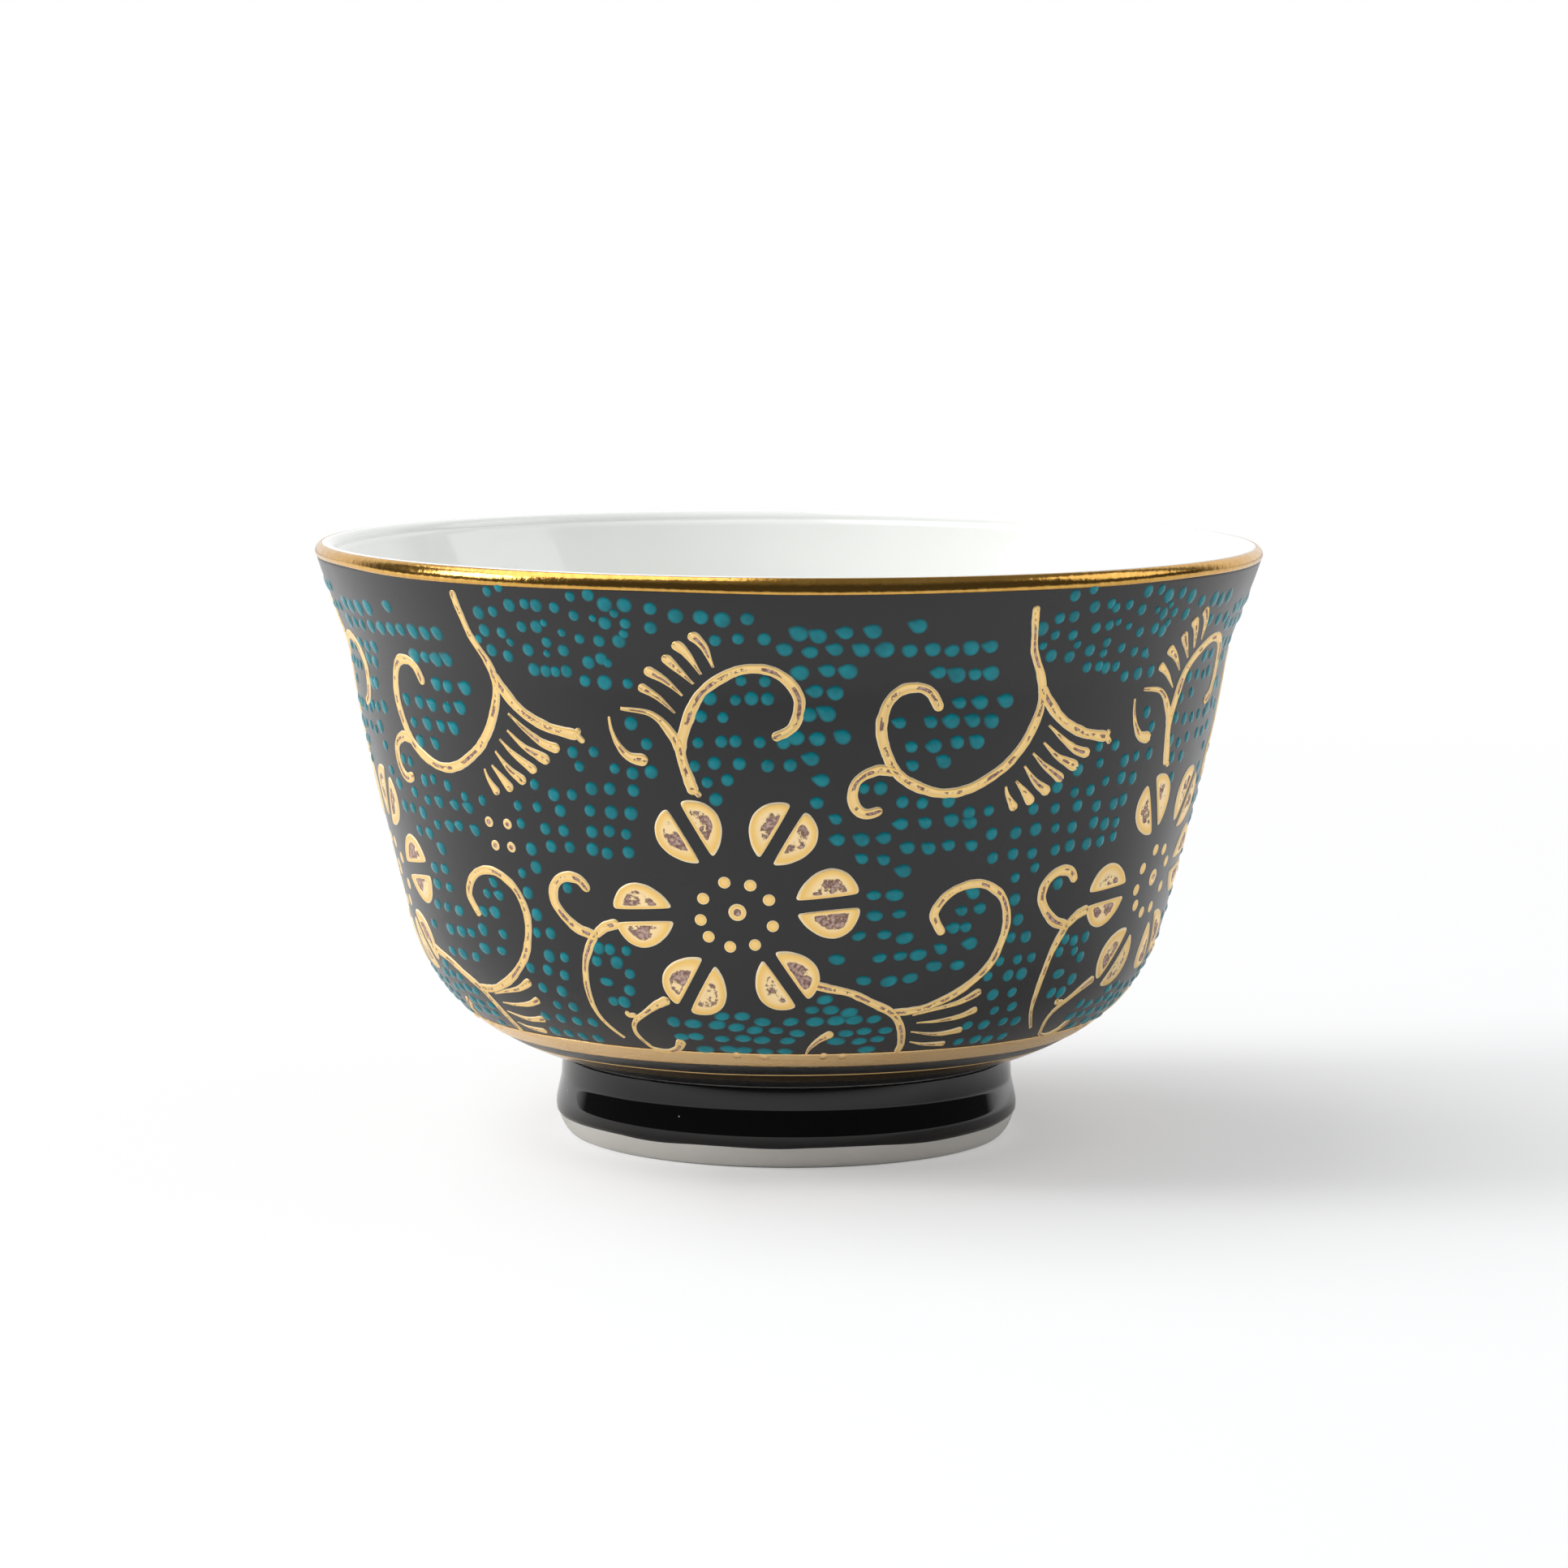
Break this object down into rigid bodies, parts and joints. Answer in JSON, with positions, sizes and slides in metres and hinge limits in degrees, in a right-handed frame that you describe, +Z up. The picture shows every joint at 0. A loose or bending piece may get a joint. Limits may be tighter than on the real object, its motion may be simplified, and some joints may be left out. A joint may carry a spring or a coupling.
{
  "type": "teacup",
  "caption": "Handleless porcelain teacup on a turned foot, white inside and black enamelled outside, with a gilded rim, gilt heel bands and raised gilt clematis scrolls.",
  "frame": {"origin": "on the surface that the cup stands on, under the middle of its foot ring", "axes": "+Z up along the axis that the cup was turned on; -Y towards the picture's camera, with a flower of the painting a little to the left of the front; +X to the right"},
  "size_m": [0.09, 0.09, 0.0568],
  "materials": {
    "white_porcelain": "clear glossy glaze on white porcelain",
    "bare_porcelain": "white porcelain, turned and left bare at the base",
    "black_enamel": "semi-matt black overglaze enamel",
    "black_glaze": "glossy black dipped glaze",
    "bright_gold": "bright gilding",
    "satin_gold": "satin gilding over raised enamel"
  },
  "bodies": {
    "root": {"porcelain_bowl": "white_porcelain", "foot_ring": "bare_porcelain", "bowl_enamel": "black_enamel", "foot_glaze": "black_glaze", "rim_gilding": "bright_gold", "gold_band": "satin_gold", "heel_gold_line": "satin_gold", "hanging_scroll_1": "satin_gold", "hanging_scroll_2": "satin_gold", "hanging_scroll_3": "satin_gold", "hanging_scroll_4": "satin_gold", "hanging_scroll_5": "satin_gold", "sprout_scroll_1": "satin_gold", "sprout_scroll_2": "satin_gold", "sprout_scroll_3": "satin_gold", "sprout_scroll_4": "satin_gold", "sprout_scroll_5": "satin_gold", "right_branch_1": "satin_gold", "right_branch_2": "satin_gold", "right_branch_3": "satin_gold", "right_branch_4": "satin_gold", "right_branch_5": "satin_gold", "left_branch_1": "satin_gold", "left_branch_2": "satin_gold", "left_branch_3": "satin_gold", "left_branch_4": "satin_gold", "left_branch_5": "satin_gold", "bottom_curl_1": "satin_gold", "bottom_curl_2": "satin_gold", "bottom_curl_3": "satin_gold", "bottom_curl_4": "satin_gold", "bottom_curl_5": "satin_gold"}
  },
  "joints": []
}
